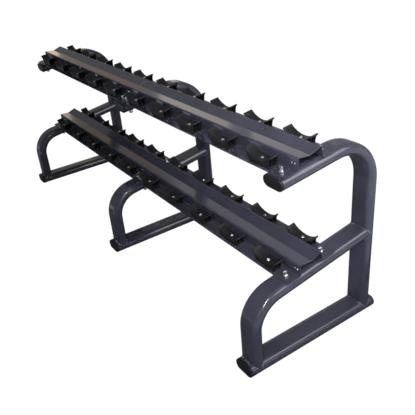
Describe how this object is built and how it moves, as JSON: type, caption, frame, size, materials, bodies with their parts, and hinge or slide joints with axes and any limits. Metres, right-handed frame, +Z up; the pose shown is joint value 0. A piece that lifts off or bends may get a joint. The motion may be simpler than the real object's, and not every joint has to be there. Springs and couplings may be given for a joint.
{
  "type": "two-tier dumbbell rack",
  "caption": "Free-standing rack of bent flat-oval tube frames and pressed beams, with moulded saddles on two forward-tilted tiers that cradle dumbbell heads.",
  "frame": {"origin": "on the floor, under the middle of the rack", "axes": "+X along the rack's length, -Y towards its front where the tiers slope down, +Z up"},
  "size_m": [2.41, 0.684, 0.8722],
  "materials": {
    "powder_coat": "gloss dark blue-grey powder coat",
    "moulding": "satin black moulded plastic",
    "plated": "bright plated steel"
  },
  "bodies": {
    "root": {"left_base_tube": "powder_coat", "left_rear_post": "powder_coat", "left_front_leg": "powder_coat", "middle_base_tube": "powder_coat", "middle_rear_post": "powder_coat", "middle_front_leg": "powder_coat", "right_base_tube": "powder_coat", "right_rear_post": "powder_coat", "right_front_leg": "powder_coat", "lower_left_beam": "powder_coat", "lower_right_beam": "powder_coat", "upper_left_beam": "powder_coat", "upper_right_beam": "powder_coat", "saddle_lower_front_1": "moulding", "saddle_lower_front_2": "moulding", "saddle_lower_front_3": "moulding", "saddle_lower_front_4": "moulding", "saddle_lower_front_5": "moulding", "saddle_lower_front_6": "moulding", "saddle_lower_front_7": "moulding", "saddle_lower_front_8": "moulding", "saddle_lower_front_9": "moulding", "saddle_lower_front_10": "moulding", "saddle_lower_rear_1": "moulding", "saddle_lower_rear_2": "moulding", "saddle_lower_rear_3": "moulding", "saddle_lower_rear_4": "moulding", "saddle_lower_rear_5": "moulding", "saddle_lower_rear_6": "moulding", "saddle_lower_rear_7": "moulding", "saddle_lower_rear_8": "moulding", "saddle_lower_rear_9": "moulding", "saddle_lower_rear_10": "moulding", "saddle_upper_front_1": "moulding", "saddle_upper_front_2": "moulding", "saddle_upper_front_3": "moulding", "saddle_upper_front_4": "moulding", "saddle_upper_front_5": "moulding", "saddle_upper_front_6": "moulding", "saddle_upper_front_7": "moulding", "saddle_upper_front_8": "moulding", "saddle_upper_front_9": "moulding", "saddle_upper_front_10": "moulding", "saddle_upper_rear_1": "moulding", "saddle_upper_rear_2": "moulding", "saddle_upper_rear_3": "moulding", "saddle_upper_rear_4": "moulding", "saddle_upper_rear_5": "moulding", "saddle_upper_rear_6": "moulding", "saddle_upper_rear_7": "moulding", "saddle_upper_rear_8": "moulding", "saddle_upper_rear_9": "moulding", "saddle_upper_rear_10": "moulding", "base_end_caps": "moulding", "arm_end_caps": "moulding", "saddle_screws": "plated", "saddle_nuts": "plated", "frame_bolts": "plated", "frame_washers": "plated", "frame_nuts": "plated"}
  },
  "joints": []
}
